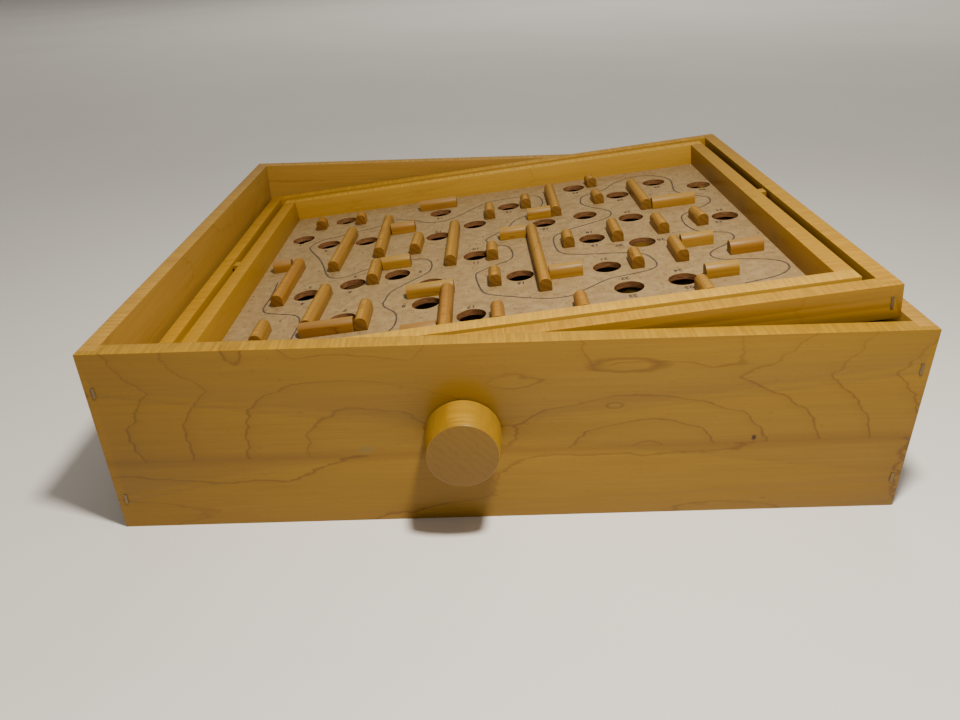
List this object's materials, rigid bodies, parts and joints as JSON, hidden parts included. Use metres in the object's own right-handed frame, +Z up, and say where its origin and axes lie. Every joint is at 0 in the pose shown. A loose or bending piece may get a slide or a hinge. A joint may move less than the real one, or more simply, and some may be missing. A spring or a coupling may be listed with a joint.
{
  "type": "tilt maze game",
  "caption": "Wooden tilt maze game: an open box with a maze tray hung in a gimbal frame, tilted about two axes by cords wound on two knob shafts.",
  "frame": {"origin": "Middle of the underside of the box, on the surface it stands on.", "axes": "+X along the long side of the box, toward the wall that carries the side knob; +Y from the front knob's wall to the back wall; +Z up."},
  "size_m": [0.3472, 0.3095, 0.098],
  "materials": {
    "lacquered_maple": "clear lacquer, satin",
    "light_maple": "clear lacquer, satin",
    "maze_bar_wood": "thin lacquer",
    "hardboard": "matte board with a thin lacquer",
    "plywood": "raw",
    "turned_beech": "thin lacquer",
    "zinc_wire": "zinc plated",
    "ball_steel": "polished",
    "cord": "braided cotton"
  },
  "bodies": {
    "box": {"front_wall": "lacquered_maple", "back_wall": "lacquered_maple", "left_wall": "lacquered_maple", "right_wall": "lacquered_maple", "bottom_panel": "plywood", "ball_ramp": "plywood", "ramp_cleats": "plywood", "wall_staples": "zinc_wire", "cord_guide_eyes": "zinc_wire", "steel_ball": "ball_steel", "gimbal_drive_cord": "cord", "tray_drive_cord": "cord"},
    "gimbal": {"gimbal_front_bar": "light_maple", "gimbal_back_bar": "light_maple", "gimbal_left_bar": "light_maple", "gimbal_right_bar": "light_maple", "gimbal_staples": "zinc_wire", "gimbal_pivot_pins": "zinc_wire", "gimbal_pivot_washers": "zinc_wire", "gimbal_cord_hooks": "zinc_wire", "gimbal_cord_spring": "zinc_wire", "gimbal_cord_drop_left": "cord", "gimbal_cord_drop_right": "cord"},
    "tray": {"tray_front_bar": "light_maple", "tray_back_bar": "light_maple", "tray_left_bar": "light_maple", "tray_right_bar": "light_maple", "maze_board": "hardboard", "tray_pivot_blocks": "light_maple", "tray_pivot_pins": "zinc_wire", "tray_cord_hooks": "zinc_wire", "tray_cord_spring": "zinc_wire", "tray_cord_drop_front": "cord", "tray_cord_drop_back": "cord", "maze_bars_left_edge": "maze_bar_wood", "maze_bars_left_near": "maze_bar_wood", "maze_bars_left_far": "maze_bar_wood", "maze_bars_mid_left_far": "maze_bar_wood", "maze_bars_centre": "maze_bar_wood", "maze_bars_near_middle": "maze_bar_wood", "maze_bars_mid_right": "maze_bar_wood", "maze_bars_right_far": "maze_bar_wood", "maze_bars_right_middle": "maze_bar_wood", "maze_bars_right_edge": "maze_bar_wood", "maze_bars_near_right": "maze_bar_wood", "maze_crossbars_left": "maze_bar_wood", "maze_crossbars_mid_left": "maze_bar_wood", "maze_crossbars_near": "maze_bar_wood", "maze_crossbars_centre": "maze_bar_wood", "maze_crossbars_right": "maze_bar_wood", "maze_crossbars_near_right": "maze_bar_wood"},
    "front_drive": {"front_knob": "turned_beech", "front_shaft": "turned_beech", "front_shaft_collar": "turned_beech"},
    "side_drive": {"side_knob": "turned_beech", "side_shaft": "turned_beech", "side_shaft_collar": "turned_beech"}
  },
  "joints": [
    {"name": "gimbal_tilt", "type": "hinge", "parent": "box", "child": "gimbal", "pos_m": [0, 0, 0.0732], "axis": [0, -1, 0], "range_deg": [-14.5, 1.5], "deforming": ["gimbal_cord_drop_left", "gimbal_cord_drop_right"]},
    {"name": "tray_tilt", "type": "hinge", "parent": "gimbal", "child": "tray", "pos_m": [0, 0, 0.0732], "axis": [0.9936, 0, 0.1132], "range_deg": [-5.65, 6.35], "deforming": ["tray_cord_drop_front", "tray_cord_drop_back"]},
    {"name": "front_knob_turn", "type": "hinge", "parent": "box", "child": "front_drive", "pos_m": [-0.0177, -0.146, 0.044], "axis": [0, -1, 0], "range_deg": [-490, 55]},
    {"name": "side_knob_turn", "type": "hinge", "parent": "box", "child": "side_drive", "pos_m": [0.165, 0.0177, 0.032], "axis": [1, 0, 0], "range_deg": [-155, 172]}
  ],
  "couplings": [
    {"joint": "front_knob_turn", "follows": "gimbal_tilt", "ratio": 33.5},
    {"joint": "side_knob_turn", "follows": "tray_tilt", "ratio": 26.5}
  ]
}
